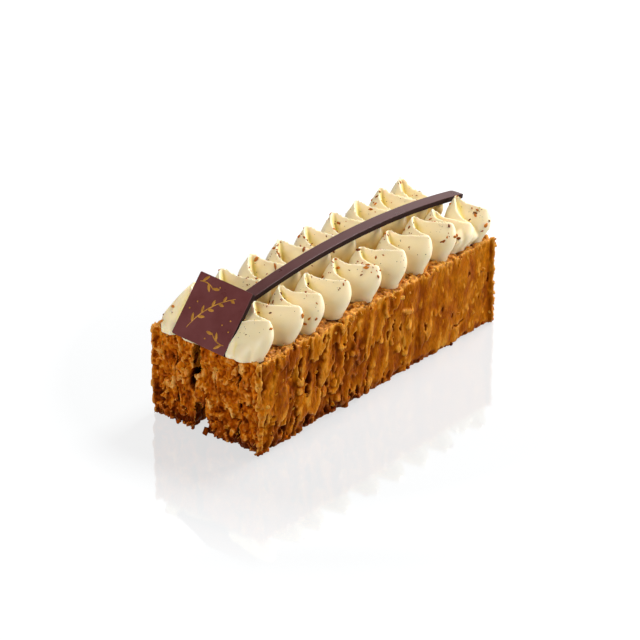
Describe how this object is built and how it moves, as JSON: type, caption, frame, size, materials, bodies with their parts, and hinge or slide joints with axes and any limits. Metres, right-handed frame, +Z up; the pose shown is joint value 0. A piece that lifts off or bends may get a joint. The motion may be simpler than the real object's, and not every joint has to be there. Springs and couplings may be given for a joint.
{
  "type": "mille feuille slice",
  "caption": "Oblong slice of mille feuille: slabs of caramelised puff pastry on edge, topped with piped waves of vanilla cream, an arched chocolate strip and a leaning chocolate plaque.",
  "frame": {"origin": "on the underside, half way along the pastry and half way across it", "axes": "+X along the slice from the plaque end to the other end, +Y across it to the far side, +Z up"},
  "size_m": [0.1282, 0.045, 0.0497],
  "materials": {
    "pastry": "baked, flaky and glossy with caramel in places",
    "cream": "smooth satin cream with vanilla specks and caramel crumbs",
    "chocolate": "satin dark chocolate"
  },
  "bodies": {
    "root": {"pastry_slab_near": "pastry", "pastry_slab_far": "pastry", "cream_row_near": "cream", "cream_row_far": "cream", "chocolate_strip": "chocolate", "chocolate_plaque": "chocolate"}
  },
  "joints": []
}
